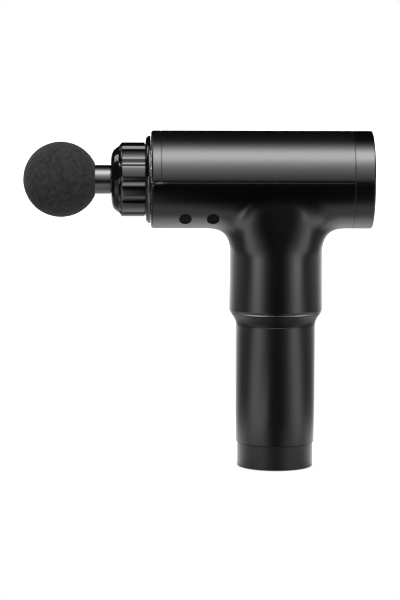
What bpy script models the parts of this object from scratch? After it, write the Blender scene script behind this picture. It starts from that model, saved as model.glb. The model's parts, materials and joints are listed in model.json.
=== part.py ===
"""Percussive massage gun: a horizontal barrel on a vertical battery handle, with a foam ball head.

Frame: metres, +Z up along the handle, -X towards the ball head, origin at the centre of the base's
flat underside. Lengths below are in millimetres and become metres through MM when a shape is made.
Barrel parts are turned about an axis along X, so their profile heights are plain x positions.
"""

import math

import bmesh
import bpy
import numpy as np
from mathutils import Matrix, Vector

MM = 0.001
GAP = 0.3

# Barrel, along X at this height above the base
BARREL_Z = 191.3
BARREL_R = 32.5
WALL = 2.6
BARREL_FRONT = -83.2
BAND_SEAM = -76.6
BARREL_REAR = 49.8
FRONT_CHAMFER = 1.2
PARTING_DEG = 0.55

# Rear ring and control panel
RING_REAR = 63.3
LENS_R = 29.1
BUTTON_R = 7.9
BUTTON_REAR = 63.0

# Nose and flange in front of the barrel
FLANGE_R = 29.15
FLANGE_FRONT = -86.9
NOSE_R = 24.7
NOSE_FRONT = -110.0
NOSE_REAR = -87.2
NOSE_BORE_R = 14.2
FLUTES = 12
FLUTE_R = 2.8
FLUTE_OFFSET = 26.2
FLUTE_FRONT = -101.8

# Neck that blends the barrel into the handle
NECK_R = 31.0
NECK_BOTTOM = 103.4
NECK_CHAMFER_TOP = 105.4
NECK_CHAMFER_SLOPE = 0.4
BLEND = 14.0
SQUARENESS = 1.05
SQUARE_FROM, SQUARE_TO = -49.0, -19.0

# Handle tube, skirt and base
HANDLE_R = 26.2
HANDLE_TOP = 95.2
RING_SEAM = 16.2
BASE_R = 25.3
SKIRT_TOP = 102.9
SKIRT_TOP_R = 30.0

# Drive: crank on the motor shaft, connecting rod, plunger
CRANK_THROW = 6.0
ROD_LENGTH = 42.0
PLUNGER_R = 11.0
PLUNGER_FRONT = -106.0
PLUNGER_BORE_R = 8.0
PLUNGER_BORE_END = -78.0
FORK_FLOOR = -57.0
FORK_REAR = -30.0
FORK_HALF_SLOT = 4.3
WRIST_X = CRANK_THROW - ROD_LENGTH
FRAME_BORE_R = 14.6
SHAFT_R = 2.5

# Ball head
BALL_X = -142.5
BALL_R = 25.2
STEM_R = 9.62
STEM_SHOULDER = -106.3
PLUG_R = 7.4
PLUG_END = -80.0
O_RINGS = (-99.0, -87.5)
O_RING_R = 7.25
O_RING_WIRE_R = 0.5

# Side screws under rubber plugs, two on each side of the barrel
WELL_X = (-60.7, -42.5)
WELL_R = 4.15
WELL_Y = 20.6
WELL_DROP = 24.75
WELL_TILT_DEG = 7.0

# Battery
CELL_R = 9.15
CELL_BOTTOM, CELL_TOP = 22.0, 87.0
CELL_CIRCLE_R = 11.4
CELLS = 3

# Base
ROCKER_X = 12.0
ROCKER_PIVOT = 4.4
SOCKET_X = -12.0

COLOURS = {
    "shell": ((0.020, 0.020, 0.022), 0.34, 0.6),
    "trim_gloss": ((0.012, 0.012, 0.013), 0.12, 0.7),
    "ring_metal": ((0.030, 0.030, 0.032), 0.30, 0.8),
    "handle_skin": ((0.016, 0.016, 0.017), 0.38, 0.5),
    "base_plastic": ((0.035, 0.035, 0.037), 0.45, 0.1),
    "stem_metal": ((0.22, 0.22, 0.23), 0.22, 1.0),
    "foam": ((0.030, 0.030, 0.032), 0.92, 0.0),
    "rubber": ((0.010, 0.010, 0.010), 0.80, 0.0),
    "lens": ((0.006, 0.006, 0.008), 0.06, 0.0),
    "steel": ((0.55, 0.55, 0.57), 0.25, 1.0),
    "aluminium": ((0.70, 0.70, 0.72), 0.35, 1.0),
    "bronze": ((0.55, 0.36, 0.16), 0.35, 1.0),
    "copper": ((0.75, 0.34, 0.16), 0.35, 1.0),
    "magnet": ((0.10, 0.10, 0.11), 0.40, 0.9),
    "circuit_board": ((0.02, 0.16, 0.07), 0.45, 0.0),
    "inner_plastic": ((0.08, 0.08, 0.09), 0.55, 0.0),
    "cell_wrap": ((0.05, 0.22, 0.42), 0.40, 0.0),
    "wire_red": ((0.55, 0.03, 0.02), 0.50, 0.0),
    "wire_black": ((0.02, 0.02, 0.02), 0.50, 0.0),
}


# ---- Scene, materials and helpers ---------------------------------------------------------------


def clear_scene():
    for obj in list(bpy.data.objects):
        bpy.data.objects.remove(obj, do_unlink=True)


def new_collection(name):
    collection = bpy.data.collections.new(name)
    bpy.context.scene.collection.children.link(collection)
    return collection


clear_scene()
PARTS = new_collection("massage_gun")
CUTTERS = new_collection("cutters")
FLUTE_CUTTERS = new_collection("flute_cutters")


def material(slot):
    """The Principled material of one colour slot, made once."""
    found = bpy.data.materials.get(slot)
    if found:
        return found
    colour, roughness, metallic = COLOURS[slot]
    made = bpy.data.materials.new(slot)
    made.use_nodes = True
    shader = made.node_tree.nodes["Principled BSDF"]
    shader.inputs["Base Color"].default_value = (*colour, 1.0)
    shader.inputs["Roughness"].default_value = roughness
    shader.inputs["Metallic"].default_value = metallic
    return made


def place(obj, slot, collection=PARTS):
    """Links an object, gives it its material and marks a helper as one."""
    collection.objects.link(obj)
    if slot:
        obj.data.materials.append(material(slot))
    if collection is not PARTS:
        obj.hide_render = True
        obj.display_type = "WIRE"
    return obj


def mesh_object(name, bm, slot, collection=PARTS, origin=(0, 0, 0)):
    """An object from a bmesh made in millimetres, with its own origin at the point given."""
    bmesh.ops.recalc_face_normals(bm, faces=bm.faces)
    bmesh.ops.translate(bm, vec=-Vector(origin), verts=bm.verts)
    bmesh.ops.scale(bm, vec=(MM, MM, MM), verts=bm.verts)
    mesh = bpy.data.meshes.new(name)
    bm.to_mesh(mesh)
    bm.free()
    mesh.shade_smooth()
    mesh.set_sharp_from_angle(angle=math.radians(35))
    obj = place(bpy.data.objects.new(name, mesh), slot, collection)
    obj.location = Vector(origin) * MM
    return obj


def aim(obj, axis, at):
    """Turns local Z to the axis asked for and moves the object, with X parts on the barrel's axis."""
    turn = {"X": (0.0, math.pi / 2, 0.0), "Z": (0.0, 0.0, 0.0)}[axis]
    lift = BARREL_Z if axis == "X" else 0.0
    obj.rotation_euler = turn
    obj.location = Vector((at[0], at[1], at[2] + lift)) * MM
    return obj


def box(name, low, high, slot, collection=PARTS, origin=None):
    bm = bmesh.new()
    bmesh.ops.create_cube(bm, size=1.0)
    size = Vector(high) - Vector(low)
    centre = (Vector(high) + Vector(low)) / 2
    bmesh.ops.scale(bm, vec=size, verts=bm.verts)
    bmesh.ops.translate(bm, vec=centre, verts=bm.verts)
    return mesh_object(name, bm, slot, collection, origin or centre)


def rod(name, radius, start, end, slot, segments=24, collection=PARTS):
    """A plain cylinder between two points."""
    start, end = Vector(start), Vector(end)
    along = end - start
    bm = bmesh.new()
    bmesh.ops.create_cone(
        bm, cap_ends=True, segments=segments, radius1=radius, radius2=radius, depth=along.length
    )
    turn = Vector((0, 0, 1)).rotation_difference(along).to_matrix().to_4x4()
    middle = (start + end) / 2
    bmesh.ops.transform(bm, matrix=Matrix.Translation(middle) @ turn, verts=bm.verts)
    return mesh_object(name, bm, slot, collection, middle)


def prism(name, outline, low_y, high_y, slot, origin):
    """An outline of (x, z) points given its width along Y."""
    bm = bmesh.new()
    near = [bm.verts.new((x, low_y, z)) for x, z in outline]
    far = [bm.verts.new((x, high_y, z)) for x, z in outline]
    bm.faces.new(near)
    bm.faces.new(far)
    for i in range(len(outline)):
        j = (i + 1) % len(outline)
        bm.faces.new((near[i], near[j], far[j], far[i]))
    return mesh_object(name, bm, slot, origin=origin)


def profile_mesh(name, profile, closed):
    """The wire of a turned shape: (radius, height) pairs, down the outer side."""
    points = [(r * MM, 0.0, h * MM) for r, h in profile]
    edges = [(i, i + 1) for i in range(len(points) - 1)]
    if closed:
        edges.append((len(points) - 1, 0))
    mesh = bpy.data.meshes.new(name)
    mesh.from_pydata(points, edges, [])
    return mesh


def turned(name, profile, slot, axis="Z", at=(0, 0, 0), segments=32, collection=PARTS):
    """A full turn of a profile: a closed ring, or a body whose profile starts and ends on the axis."""
    closed = profile[0][0] > 0
    obj = bpy.data.objects.new(name, profile_mesh(name, profile, closed))
    screw = obj.modifiers.new("Screw", "SCREW")
    screw.steps = screw.render_steps = segments
    screw.use_merge_vertices = True
    screw.merge_threshold = 0.00001
    screw.use_smooth_shade = True
    return aim(place(obj, slot, collection), axis, at)


def ring(name, inner, outer, low, high, slot, axis="Z", at=(0, 0, 0), segments=24):
    profile = [(outer, high), (outer, low), (inner, low), (inner, high)]
    return turned(name, profile, slot, axis, at, segments)


def half_shell(name, profile, slot):
    """The upper half of a turned barrel skin, as an open surface with a wall added inwards."""
    obj = bpy.data.objects.new(name, profile_mesh(name, profile, False))
    screw = obj.modifiers.new("Screw", "SCREW")
    screw.steps = screw.render_steps = 30
    screw.angle = math.radians(180 - 2 * PARTING_DEG)
    screw.use_normal_calculate = True
    wall = obj.modifiers.new("Wall", "SOLIDIFY")
    wall.thickness = WALL * MM
    wall.offset = -1.0
    wall.use_even_offset = True
    obj = aim(place(obj, slot), "X", (0, 0, 0))
    start = Matrix.Rotation(math.radians(90 + PARTING_DEG), 4, "X")
    obj.matrix_world = Matrix.Translation((0, 0, BARREL_Z * MM)) @ start @ Matrix.Rotation(
        math.pi / 2, 4, "Y"
    )
    return obj


def boolean(obj, other, operation):
    modifier = obj.modifiers.new(f"{operation.title()} {other.name}", "BOOLEAN")
    modifier.operation = operation
    modifier.object = other
    modifier.solver = "EXACT"
    return obj


def cut(obj, *others):
    for other in others:
        boolean(obj, other, "DIFFERENCE")
    return obj


def join(obj, *others):
    for other in others:
        boolean(obj, other, "UNION")
    return obj


def arc(centre_r, centre_h, radius, start_deg, end_deg, steps):
    """Profile points on an arc, angles measured from the radius direction towards +height."""
    angles = [start_deg + (end_deg - start_deg) * i / steps for i in range(steps + 1)]
    return [
        (
            max(0.0, centre_r + radius * math.cos(math.radians(a))),
            centre_h + radius * math.sin(math.radians(a)),
        )
        for a in angles
    ]


def lead(name, route, radius, slot):
    """A held wire: a smooth curve through the route's points."""
    points = smooth_route(route, 3)
    curve = bpy.data.curves.new(name, "CURVE")
    curve.dimensions = "3D"
    curve.bevel_depth = radius * MM
    curve.bevel_resolution = 1
    curve.use_fill_caps = True
    spline = curve.splines.new("POLY")
    spline.points.add(len(points) - 1)
    for point, p in zip(spline.points, points):
        point.co = (*(Vector(p) * MM), 1.0)
    return place(bpy.data.objects.new(name, curve), slot)


def smooth_route(route, steps):
    """Catmull-Rom points through a route."""
    p = [Vector(route[0]), *map(Vector, route), Vector(route[-1])]
    points = []
    for i in range(1, len(p) - 2):
        for k in range(steps):
            t = k / steps
            a = 2 * p[i]
            b = p[i + 1] - p[i - 1]
            c = 2 * p[i - 1] - 5 * p[i] + 4 * p[i + 1] - p[i + 2]
            d = 3 * p[i] - p[i - 1] - 3 * p[i + 1] + p[i + 2]
            points.append((a + b * t + c * t * t + d * t**3) / 2)
    points.append(p[-2])
    return points


# ---- Barrel and neck skins ----------------------------------------------------------------------


def smoothstep(t):
    t = np.clip(t, 0.0, 1.0)
    return t * t * (3 - 2 * t)


def neck_radius(z):
    """The neck's half width at a height above the base, with the chamfer at its bottom lip."""
    return NECK_R - NECK_CHAMFER_SLOPE * np.clip(NECK_CHAMFER_TOP - z, 0.0, None)


def neck_power(h):
    """The superellipse power of the neck's section: round at the lip and squarer under the barrel."""
    return 2.0 + SQUARENESS * smoothstep((h - SQUARE_FROM) / (SQUARE_TO - SQUARE_FROM))


def barrel_radius(x):
    return BARREL_R - np.clip(BARREL_FRONT + FRONT_CHAMFER - x, 0.0, None)


def skin_distance(p):
    """How far each point is outside the barrel blended with the neck; heights are from the axis.

    The blend is widest where the two surfaces cross squarely and fades where they run alike.
    """
    x, y, h = p.T
    barrel = np.hypot(y, h) - barrel_radius(x)
    n = neck_power(h)
    across = (np.abs(x) ** n + np.abs(y) ** n) ** (1 / n)
    neck = np.where(h < 0, across - neck_radius(h + BARREL_Z), 1e3)
    ax, ay = np.abs(x) ** (n - 1), np.abs(y) ** (n - 1)
    alike = np.abs(y) * ay / (np.hypot(y, h) * np.hypot(ax, ay) + 1e-9)
    width = 0.5 + BLEND * (1 - alike)
    share = np.clip(width - np.abs(barrel - neck), 0.0, None) / width
    return np.minimum(barrel, neck) - share * share * width / 4


def onto_skin(p):
    """Moves points along the gradient of skin_distance until they lie on the skin."""
    step = 1e-3
    for _ in range(12):
        away = skin_distance(p)
        slope = np.stack(
            [(skin_distance(p + step * e) - skin_distance(p - step * e)) for e in np.eye(3)], 1
        ) / (2 * step)
        p = p - (away / np.maximum((slope**2).sum(1), 1e-6))[:, None] * slope
    return p


def column_angles(rear, side, front):
    """Directions round the handle's axis, with a column at each corner of the unrolled barrel skin."""
    half = BARREL_R * math.radians(90 - PARTING_DEG)
    corner_rear = math.atan2(half, BARREL_REAR)
    corner_front = math.atan2(half, BARREL_FRONT)
    stretches = (
        (-corner_rear, corner_rear, rear),
        (corner_rear, corner_front, side),
        (corner_front, 2 * math.pi - corner_front, front),
        (2 * math.pi - corner_front, 2 * math.pi - corner_rear, side),
    )
    return [a + (b - a) * i / n for a, b, n in stretches for i in range(n)]


def skin_border(angle, inset):
    """Where a direction meets the unrolled skin's edge: (x, angle round the barrel from its bottom)."""
    half = BARREL_R * math.radians(90 - PARTING_DEG) - inset
    c, s = math.cos(angle), math.sin(angle)
    end = BARREL_REAR - inset if c > 0 else -(BARREL_FRONT + max(inset, 0.0))
    scale = min(end / max(abs(c), 1e-9), half / max(abs(s), 1e-9))
    return c * scale, s * scale / BARREL_R


def skin_column(angle, neck_rows, barrel_rows):
    """Points up one direction of the neck and along the barrel to its edge, before blending."""
    c, s = math.cos(angle), math.sin(angle)
    power = 2.0 + SQUARENESS
    reach = NECK_R / (abs(c) ** power + abs(s) ** power) ** (1 / power)
    crease_x, crease_turn = reach * c, math.asin(reach * s / BARREL_R)
    crease_h = -BARREL_R * math.cos(crease_turn)
    low, lip = NECK_BOTTOM - BARREL_Z, NECK_CHAMFER_TOP - BARREL_Z
    heights = [low] + [
        lip + (crease_h - lip) * math.sin(math.pi / 2 * i / neck_rows) for i in range(neck_rows)
    ]
    points = []
    for h in heights:
        n = float(neck_power(h))
        r = float(neck_radius(h + BARREL_Z)) / (abs(c) ** n + abs(s) ** n) ** (1 / n)
        points.append((r * c, r * s, h))
    inner_x, inner_turn = skin_border(angle, FRONT_CHAMFER)
    for i in range(barrel_rows):
        t = (i / (barrel_rows - 1)) ** 1.35
        x = crease_x + (inner_x - crease_x) * t
        turn = crease_turn + (inner_turn - crease_turn) * t
        points.append((x, BARREL_R * math.sin(turn), -BARREL_R * math.cos(turn)))
    x, turn = skin_border(angle, 0.0)
    r = float(barrel_radius(x))
    points.append((x, r * math.sin(turn), -r * math.cos(turn)))
    return points


def lower_skin(name, slot):
    """The lower barrel half and the neck as one blended skin, lofted from the lip to the barrel's edges."""
    columns = [skin_column(a, neck_rows=6, barrel_rows=5) for a in column_angles(10, 10, 12)]
    points = np.array(columns)
    fixed = np.zeros(points.shape[:2], bool)
    fixed[:, 0] = fixed[:, -1] = fixed[:, -2] = True
    flat = points.reshape(-1, 3)
    moved = np.where(fixed.reshape(-1)[:, None], flat, onto_skin(flat))
    moved[:, 2] += BARREL_Z
    rows = points.shape[1]
    bm = bmesh.new()
    verts = [bm.verts.new(p) for p in moved]
    count = len(columns)
    for i in range(count):
        for j in range(rows - 1):
            a, b = i * rows + j, ((i + 1) % count) * rows + j
            bm.faces.new((verts[a], verts[b], verts[b + 1], verts[a + 1]))
    obj = mesh_object(name, bm, slot)
    wall = obj.modifiers.new("Wall", "SOLIDIFY")
    wall.thickness = WALL * MM
    wall.offset = -1.0
    wall.use_even_offset = True
    return obj


def well_axis(x, side):
    """Mouth point and inward direction of a screw well; side is -1 or +1 along Y."""
    tilt = math.radians(WELL_TILT_DEG)
    mouth = Vector((x, side * WELL_Y, BARREL_Z - WELL_DROP))
    return mouth, Vector((0, -side * math.cos(tilt), math.sin(tilt)))


def screw_wells():
    return [(x, side) for side in (-1, 1) for x in WELL_X]


def housing():
    lower = lower_skin("lower_housing", "shell")
    inside = rod("well_trim", BARREL_R - 1.0, (-80, 0, BARREL_Z), (-20, 0, BARREL_Z), None, 48, CUTTERS)
    for i, (x, side) in enumerate(screw_wells()):
        mouth, inward = well_axis(x, side)
        boss = rod(
            f"well_boss_{i}", WELL_R + 1.5, mouth - inward * 6, mouth + inward * 10.5, None, 16, CUTTERS
        )
        boolean(boss, inside, "INTERSECT")
        join(lower, boss)
        well = rod(f"well_{i}", WELL_R, mouth - inward * 14, mouth + inward * 8.5, None, 20, CUTTERS)
        hole = rod(f"well_hole_{i}", 1.8, mouth + inward * 8, mouth + inward * 12, None, 10, CUTTERS)
        cut(lower, well, hole)
    half_shell("upper_housing", [(BARREL_R, BARREL_REAR), (BARREL_R, BAND_SEAM + GAP)], "shell")
    band = [
        (BARREL_R, BAND_SEAM),
        (BARREL_R, BARREL_FRONT + FRONT_CHAMFER),
        (BARREL_R - FRONT_CHAMFER, BARREL_FRONT),
    ]
    half_shell("front_band", band, "shell")


def side_screws():
    for i, (x, side) in enumerate(screw_wells()):
        mouth, inward = well_axis(x, side)
        plug = rod(f"screw_plug_{i + 1}", WELL_R - GAP, mouth - inward * 9, mouth + inward * 3, "rubber", 20)
        trim = rod(
            f"plug_trim_{i}", BARREL_R - 0.7, (x - 9, 0, BARREL_Z), (x + 9, 0, BARREL_Z), None, 64, CUTTERS
        )
        boolean(plug, trim, "INTERSECT")
        head = rod(f"mount_screw_{i + 1}", 2.7, mouth + inward * 5.9, mouth + inward * 8.2, "steel", 12)
        shank = rod(f"screw_shank_{i}", 1.4, mouth + inward * 8, mouth + inward * 16, None, 8, CUTTERS)
        join(head, shank)


# ---- Nose, flange and rear ring -----------------------------------------------------------------


def nose():
    outer = [
        (NOSE_R, NOSE_REAR),
        (NOSE_R, -101.6),
        (24.4, -102.6),
        (22.3, -104.3),
        (19.6, -107.6),
        (17.0, -109.0),
        (14.3, -109.65),
        (11.8, NOSE_FRONT),
    ]
    inner = [(11.8, -107.8), (NOSE_BORE_R, -107.8), (NOSE_BORE_R, NOSE_REAR)]
    collar = turned("nose_collar", outer + inner, "trim_gloss", "X", segments=36)
    capsule = turned(
        "flute_capsule",
        [(0, NOSE_REAR + 6), (FLUTE_R, NOSE_REAR + 6), *arc(0, FLUTE_FRONT, FLUTE_R, 0, -90, 3)],
        None,
        segments=10,
        collection=CUTTERS,
    )
    shape = bpy.data.meshes.new_from_object(capsule.evaluated_get(bpy.context.evaluated_depsgraph_get()))
    for i in range(FLUTES):
        flute = place(bpy.data.objects.new(f"flute_{i}", shape), None, FLUTE_CUTTERS)
        turn = Matrix.Rotation(2 * math.pi * (i + 0.5) / FLUTES, 4, "X")
        out = Matrix.Translation((0, -FLUTE_OFFSET * MM, 0))
        lie = Matrix.Rotation(math.pi / 2, 4, "Y")
        flute.matrix_world = Matrix.Translation((0, 0, BARREL_Z * MM)) @ turn @ out @ lie
    flutes = collar.modifiers.new("Flutes", "BOOLEAN")
    flutes.operation = "DIFFERENCE"
    flutes.operand_type = "COLLECTION"
    flutes.collection = FLUTE_CUTTERS
    flutes.solver = "EXACT"
    ring("nose_seal", PLUNGER_R + 0.2, NOSE_BORE_R - GAP, -107.5, -104.9, "rubber", "X", segments=24)
    ring("guide_bush_front", PLUNGER_R + 0.2, NOSE_BORE_R - GAP, -104.6, -87.5, "bronze", "X", segments=24)
    ring("guide_bush_rear", PLUNGER_R + 0.2, FRAME_BORE_R - GAP, -77.9, -54.6, "bronze", "X", segments=24)
    edge = arc(FLANGE_R - 2.6, FLANGE_FRONT + 2.6, 2.6, 0, -90, 3)
    rim = [(FLANGE_R - 0.3, BARREL_FRONT - GAP), (FLANGE_R, BARREL_FRONT - GAP - 0.3), *edge]
    bore = [(16, FLANGE_FRONT), (16, BARREL_FRONT - GAP)]
    turned("front_flange", rim + bore, "trim_gloss", "X", segments=36)
    ring("front_plate", 15.4, BARREL_R - WALL - 1.3, BARREL_FRONT, -80.8, "aluminium", "X", segments=24)
    ring("front_damper", 15.4, 25.5, -80.5, -78.5, "rubber", "X")


def rear_end():
    edge = arc(BARREL_R - 1.2, RING_REAR - 1.2, 1.2, 90, 0, 2)
    profile = [
        *edge,
        (BARREL_R, BARREL_REAR + GAP),
        (28.6, BARREL_REAR + GAP),
        (28.6, 46.5),
        (27.0, 46.5),
        (27.0, 60.2),
        (LENS_R + GAP, 60.2),
        (LENS_R + GAP, RING_REAR),
    ]
    turned("rear_ring", profile, "ring_metal", "X", segments=36)
    window = [(BUTTON_R + GAP, 60.6), (BUTTON_R + GAP, 62.7)]
    lens = [(LENS_R - 0.4, 62.7), (LENS_R, 62.3), (LENS_R, 60.6), *window]
    turned("rear_lens", lens, "lens", "X", segments=32)
    face = [(0, BUTTON_REAR), (BUTTON_R - 0.6, BUTTON_REAR), (BUTTON_R, BUTTON_REAR - 0.5)]
    button = [*face, (BUTTON_R, 58.4), (0, 58.4)]
    turned("rear_button", button, "base_plastic", "X", segments=24)
    board = [(0, 55.6), (26.0, 55.6), (26.0, 54.0), (0, 54.0)]
    turned("display_board", board, "circuit_board", "X", segments=24)
    box("button_switch", (55.9, -3, BARREL_Z - 3), (57.4, 3, BARREL_Z + 3), "inner_plastic")


# ---- Drive ---------------------------------------------------------------------------------------


def drive_frame():
    frame = turned(
        "drive_frame",
        [(18, -54), (18, -75.2), (25.5, -75.2), (25.5, -78.2), (13.0, -78.2), (13.0, -54)],
        "aluminium",
        "X",
        segments=32,
    )
    z = BARREL_Z
    plate = box("frame_plate", (-60, -20, z - 17.5), (21, 20, z - 13.5), None, CUTTERS)
    foot = box("frame_foot", (-67, -8, z - 27.2), (-36.5, 8, z - 16.6), None, CUTTERS)
    bore = rod("frame_bore", FRAME_BORE_R, (-80, 0, z), (-52, 0, z), None, 32, CUTTERS)
    shaft_hole = rod("frame_shaft_hole", 7, (0, 0, z - 19), (0, 0, z - 12), None, 16, CUTTERS)
    join(frame, plate, foot)
    cut(frame, bore, shaft_hole)
    for i, (x, side) in enumerate(screw_wells()):
        mouth, inward = well_axis(x, side)
        cut(frame, rod(f"foot_hole_{i}", 1.7, mouth + inward * 9, mouth + inward * 17.5, None, 8, CUTTERS))


def star(name, inner, root, outer, teeth, low, high, slot):
    """A stator core: teeth on a round yoke, as a flat outline given its thickness."""
    bm = bmesh.new()
    loops = []
    for z in (low, high):
        edge, hole = [], []
        for i in range(teeth):
            for r, share in ((root, -0.34), (outer, -0.20), (outer, 0.20), (root, 0.34)):
                a = 2 * math.pi * (i + share) / teeth
                edge.append(bm.verts.new((r * math.cos(a), r * math.sin(a), z)))
                hole.append(bm.verts.new((inner * math.cos(a), inner * math.sin(a), z)))
        loops.append((edge, hole))
    count = teeth * 4
    (low_edge, low_hole), (high_edge, high_hole) = loops
    for i in range(count):
        j = (i + 1) % count
        bm.faces.new((low_edge[i], low_edge[j], high_edge[j], high_edge[i]))
        bm.faces.new((low_hole[i], high_hole[i], high_hole[j], low_hole[j]))
        bm.faces.new((low_edge[i], low_hole[i], low_hole[j], low_edge[j]))
        bm.faces.new((high_edge[i], high_edge[j], high_hole[j], high_hole[i]))
    return mesh_object(name, bm, slot)


def motor():
    z = BARREL_Z
    base = [(15, z - 17.8), (15, z - 20.9), (6.0, z - 20.9), (6.0, z - 41), (4.9, z - 41), (4.9, z - 17.8)]
    turned("motor_base", base, "aluminium", segments=20)
    ring("motor_bearing_upper", SHAFT_R + GAP, 4.6, z - 21.5, z - 18.5, "steel", segments=16)
    ring("motor_bearing_lower", SHAFT_R + GAP, 4.6, z - 40.5, z - 37.5, "steel", segments=16)
    star("stator_core", 6.3, 9.5, 15.8, 9, z - 39, z - 27, "steel")
    for name, low in (("winding_upper", z - 26.7), ("winding_lower", z - 42.2)):
        outer = [(13.6, low + 2.9), (15, low + 1.4), (13.6, low)]
        profile = [*outer, (8.6, low), (7.4, low + 1.4), (8.6, low + 2.9)]
        turned(name, profile, "copper", segments=20)
    outer = [(20, z - 22.5), (20, z - 44), (19, z - 45)]
    can = [*outer, (2.8, z - 45), (2.8, z - 43), (18.2, z - 43), (18.2, z - 22.5)]
    turned("rotor_can", can, "steel", segments=24)
    ring("magnet_ring", 16.3, 17.9, z - 40.5, z - 25.5, "magnet", segments=24)
    rod("motor_shaft", SHAFT_R, (0, 0, z - 44.6), (0, 0, z - 5.6), "steel", 16)


def crank():
    z = BARREL_Z
    hub = rod("crank", 12, (0, 0, z - 10.5), (0, 0, z - 4.3), "steel", 28)
    weight = rod("crank_weight", 20, (0, 0, z - 10.4), (0, 0, z - 5.2), None, 32, CUTTERS)
    rest = box("crank_rest", (-1.5, -25, z - 12), (25, 25, z - 2), None, CUTTERS)
    pin = rod("crank_pin", 4.0, (CRANK_THROW, 0, z - 6), (CRANK_THROW, 0, z + 4.6), None, 20, CUTTERS)
    bore = rod("crank_bore", SHAFT_R + GAP, (0, 0, z - 12), (0, 0, z - 5.3), None, 16, CUTTERS)
    cut(weight, rest)
    join(hub, weight, pin)
    cut(hub, bore)


def connecting_rod():
    z = BARREL_Z
    pin_x = CRANK_THROW
    low, high = (WRIST_X + 4, -3.5, z - 2.5), (pin_x - 9, 3.5, z + 2.5)
    arm = box("connecting_rod", low, high, "aluminium", origin=(pin_x, 0, z))
    big = rod("rod_big_end", 11, (pin_x, 0, z - 3.5), (pin_x, 0, z + 3.5), None, 28, CUTTERS)
    small = rod("rod_small_end", 7.3, (WRIST_X, 0, z - 3.5), (WRIST_X, 0, z + 3.5), None, 24, CUTTERS)
    big_eye = rod("rod_big_eye", 8.2, (pin_x, 0, z - 5), (pin_x, 0, z + 5), None, 24, CUTTERS)
    small_eye = rod("rod_small_eye", 3.3, (WRIST_X, 0, z - 5), (WRIST_X, 0, z + 5), None, 16, CUTTERS)
    join(arm, big, small)
    cut(arm, big_eye, small_eye)
    ring("crank_bearing", 4.25, 7.9, z - 3.3, z + 3.3, "steel", at=(pin_x, 0, 0), segments=24)
    rod("wrist_pin", 3.0, (WRIST_X, 0, z - 4.0), (WRIST_X, 0, z + 4.0), "steel", 16)


def plunger():
    z = BARREL_Z
    profile = [
        (0, FORK_REAR),
        (PLUNGER_R, FORK_REAR),
        (PLUNGER_R, PLUNGER_FRONT + 0.5),
        (PLUNGER_R - 0.5, PLUNGER_FRONT),
        (PLUNGER_BORE_R, PLUNGER_FRONT),
        (PLUNGER_BORE_R, PLUNGER_BORE_END),
        (0, PLUNGER_BORE_END),
    ]
    body = turned("plunger", profile, "aluminium", "X", segments=24)
    low, high = (FORK_FLOOR, -14, z - FORK_HALF_SLOT), (FORK_REAR + 3, 14, z + FORK_HALF_SLOT)
    slot = box("fork_slot", low, high, None, CUTTERS)
    eye = rod("fork_eye", 3.3, (WRIST_X, 0, z - 14), (WRIST_X, 0, z + 14), None, 16, CUTTERS)
    cut(body, slot, eye)


def ball_head():
    neck = math.degrees(math.asin((STEM_R + GAP) / BALL_R))
    skin = arc(0, BALL_X, BALL_R, 90 - neck, -90, 13)
    core_r, core_x, shank_r = 13.0, BALL_X, 7.5
    join_x = core_x + math.sqrt(core_r**2 - shank_r**2)
    cavity_r = core_r + GAP
    cavity_neck = math.degrees(math.asin((shank_r + GAP) / cavity_r))
    cavity = arc(0, core_x, cavity_r, -90, 90 - cavity_neck, 5)
    socket = [(shank_r + GAP, -122.3), (STEM_R + GAP, -122.3)]
    turned("ball_head", cavity + socket + skin, "foam", "X", segments=28)
    core_neck = math.degrees(math.asin(shank_r / core_r))
    plug = [(0, PLUG_END), (PLUG_R - 0.8, PLUG_END), (PLUG_R, PLUG_END - 0.8)]
    for x in reversed(O_RINGS):
        plug += [(PLUG_R, x + 1.1), (PLUG_R - 0.9, x + 1.1), (PLUG_R - 0.9, x - 1.1), (PLUG_R, x - 1.1)]
    stem = [(PLUG_R, STEM_SHOULDER), (STEM_R, STEM_SHOULDER), (STEM_R, -122.0), (shank_r, -122.0)]
    core = [(shank_r, join_x), *arc(0, core_x, core_r, 90 - core_neck, -90, 5)[1:]]
    turned("head_stem", plug + stem + core, "stem_metal", "X", segments=20)
    for i, x in enumerate(O_RINGS):
        section = [
            (O_RING_R + O_RING_WIRE_R * math.cos(a), x - O_RING_WIRE_R * math.sin(a))
            for a in (math.pi / 2 * k for k in range(4))
        ]
        turned(f"head_o_ring_{i + 1}", section, "rubber", "X", segments=20)


# ---- Handle, battery and base --------------------------------------------------------------------


def handle():
    bottom = HANDLE_TOP + GAP
    flare = []
    for i in range(5):
        share = 1 - i / 4
        radius = HANDLE_R + (SKIRT_TOP_R - HANDLE_R) * share**1.6
        flare.append((radius, bottom + (SKIRT_TOP - bottom) * share))
    neck_ring = [(27.3, 112), (27.3, SKIRT_TOP), *flare, (24.5, bottom), (24.5, 112)]
    turned("neck_ring", neck_ring, "handle_skin", segments=36)
    tube = [
        (24.1, 107),
        (24.1, HANDLE_TOP),
        (HANDLE_R, HANDLE_TOP),
        (HANDLE_R - 0.05, RING_SEAM + GAP),
        (23.9, RING_SEAM + GAP),
        (23.9, 88.5),
        (22.0, 92.0),
        (22.0, 107),
    ]
    turned("handle_tube", tube, "handle_skin", segments=36)


def cell_holder(name, low, high):
    holder = rod(name, 23.5, (0, 0, low), (0, 0, high), "inner_plastic", 24)
    for i, (x, y) in enumerate(cell_centres()):
        start, end = (x, y, low - 1), (x, y, high + 1)
        cut(holder, rod(f"{name}_hole_{i}", CELL_R + 0.4, start, end, None, 16, CUTTERS))


def cell_centres():
    angles = [math.pi / 2 + 2 * math.pi * i / CELLS for i in range(CELLS)]
    return [(CELL_CIRCLE_R * math.cos(a), CELL_CIRCLE_R * math.sin(a)) for a in angles]


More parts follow.
